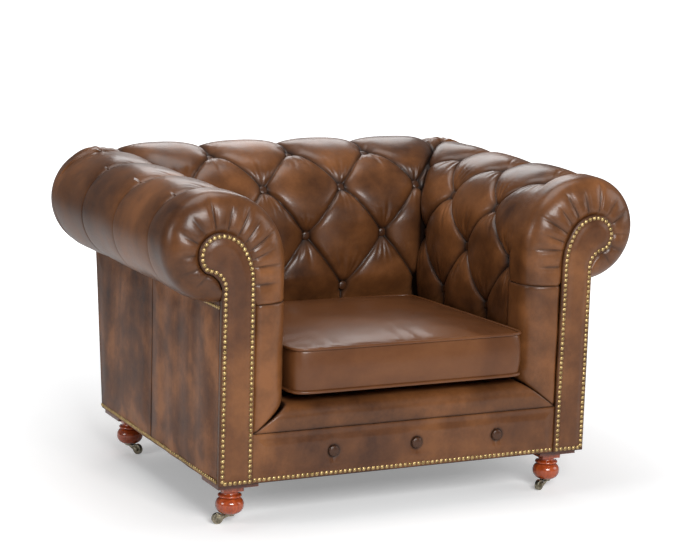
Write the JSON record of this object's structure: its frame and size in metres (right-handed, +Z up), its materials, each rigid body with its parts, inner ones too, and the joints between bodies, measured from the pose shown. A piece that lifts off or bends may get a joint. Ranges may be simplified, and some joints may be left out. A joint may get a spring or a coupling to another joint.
{
  "type": "chesterfield armchair",
  "caption": "Low club armchair with rolled arms level with its deep buttoned back, a loose seat cushion, brass nail trim, and turned bun feet on swivel casters.",
  "frame": {"origin": "on the floor under the middle of the chair", "axes": "+X to the right of someone who looks at the chair's front, +Y from the front to the back, +Z up"},
  "size_m": [1.1722, 0.8897, 0.7578],
  "materials": {
    "cover_leather": "hand-rubbed brown leather, semi-gloss",
    "cushion_leather": "hand-rubbed brown leather, semi-gloss",
    "piping_leather": "brown leather cord",
    "frame_wood": "planed hardwood, unfinished",
    "board_wood": "plywood",
    "mahogany": "glossy red mahogany polish",
    "foam": "upholstery foam and fibre",
    "webbing": "woven jute",
    "hessian": "plain woven jute cloth",
    "dust_cloth": "black spun cloth",
    "spring_steel": "drawn spring wire",
    "bolt_steel": "zinc plated",
    "antique_brass": "antique brass, dulled",
    "caster_brass": "aged brass"
  },
  "bodies": {
    "chair": {"left_arm_cover": "cover_leather", "right_arm_cover": "cover_leather", "back_cover": "cover_leather", "left_corner_cover": "cover_leather", "right_corner_cover": "cover_leather", "left_arm_border": "cover_leather", "right_arm_border": "cover_leather", "front_lip": "cover_leather", "front_border": "cover_leather", "left_scroll_facing": "cover_leather", "right_scroll_facing": "cover_leather", "left_outside_panels": "cover_leather", "right_outside_panels": "cover_leather", "outside_back_panel": "cover_leather", "arm_buttons": "cover_leather", "back_buttons": "cover_leather", "border_buttons": "cover_leather", "left_arm_foam": "foam", "right_arm_foam": "foam", "back_foam": "foam", "border_foam": "foam", "seat_deck_pad": "foam", "seat_hessian": "hessian", "webbing_straps": "webbing", "dust_cover": "dust_cloth", "seat_springs": "spring_steel", "spring_clips": "bolt_steel", "foot_bolts": "bolt_steel", "scroll_nails": "antique_brass", "panel_nails": "antique_brass", "bun_feet": "mahogany", "foot_plates": "mahogany", "caster_sockets": "caster_brass", "left_scroll_board": "board_wood", "right_scroll_board": "board_wood", "front_rail": "frame_wood", "back_rail": "frame_wood", "side_rails": "frame_wood", "front_posts": "frame_wood", "back_posts": "frame_wood", "back_uprights": "frame_wood", "tack_rails": "frame_wood", "arm_top_rails": "frame_wood", "back_top_rail": "frame_wood", "corner_blocks": "frame_wood"},
    "swivel_front_left": {"caster_fork_front_left": "caster_brass", "caster_axle_front_left": "caster_brass"},
    "wheel_front_left": {"caster_wheel_front_left": "caster_brass"},
    "swivel_front_right": {"caster_fork_front_right": "caster_brass", "caster_axle_front_right": "caster_brass"},
    "wheel_front_right": {"caster_wheel_front_right": "caster_brass"},
    "swivel_rear_left": {"caster_fork_rear_left": "caster_brass", "caster_axle_rear_left": "caster_brass"},
    "wheel_rear_left": {"caster_wheel_rear_left": "caster_brass"},
    "swivel_rear_right": {"caster_fork_rear_right": "caster_brass", "caster_axle_rear_right": "caster_brass"},
    "wheel_rear_right": {"caster_wheel_rear_right": "caster_brass"},
    "cushion": {"cushion_cover": "cushion_leather", "cushion_core": "foam", "cushion_piping": "piping_leather"}
  },
  "joints": [
    {"name": "swivel_front_left", "type": "hinge", "parent": "chair", "child": "swivel_front_left", "pos_m": [-0.4054, -0.3644, 0.02], "axis": [0, 0, 1], "continuous": true},
    {"name": "roll_front_left", "type": "hinge", "parent": "swivel_front_left", "child": "wheel_front_left", "pos_m": [-0.43188, -0.35911, 0.0125], "axis": [-0.1959, -0.9806, 0], "continuous": true},
    {"name": "swivel_front_right", "type": "hinge", "parent": "chair", "child": "swivel_front_right", "pos_m": [0.4054, -0.3644, 0.02], "axis": [0, 0, 1], "continuous": true},
    {"name": "roll_front_right", "type": "hinge", "parent": "swivel_front_right", "child": "wheel_front_right", "pos_m": [0.38126, -0.37649, 0.0125], "axis": [0.4478, -0.8942, 0], "continuous": true},
    {"name": "swivel_rear_left", "type": "hinge", "parent": "chair", "child": "swivel_rear_left", "pos_m": [-0.4054, 0.2623, 0.02], "axis": [0, 0, 1], "continuous": true},
    {"name": "roll_rear_left", "type": "hinge", "parent": "swivel_rear_left", "child": "wheel_rear_left", "pos_m": [-0.39361, 0.23801, 0.0125], "axis": [0.8996, 0.4368, 0], "continuous": true},
    {"name": "swivel_rear_right", "type": "hinge", "parent": "chair", "child": "swivel_rear_right", "pos_m": [0.4054, 0.2623, 0.02], "axis": [0, 0, 1], "continuous": true},
    {"name": "roll_rear_right", "type": "hinge", "parent": "swivel_rear_right", "child": "wheel_rear_right", "pos_m": [0.39109, 0.2852, 0.0125], "axis": [-0.848, -0.5299, 0], "continuous": true},
    {"name": "cushion_pull_out", "type": "slide", "parent": "chair", "child": "cushion", "axis": [0, -0.9996, 0.0297], "range_m": [0, 0.62]}
  ]
}
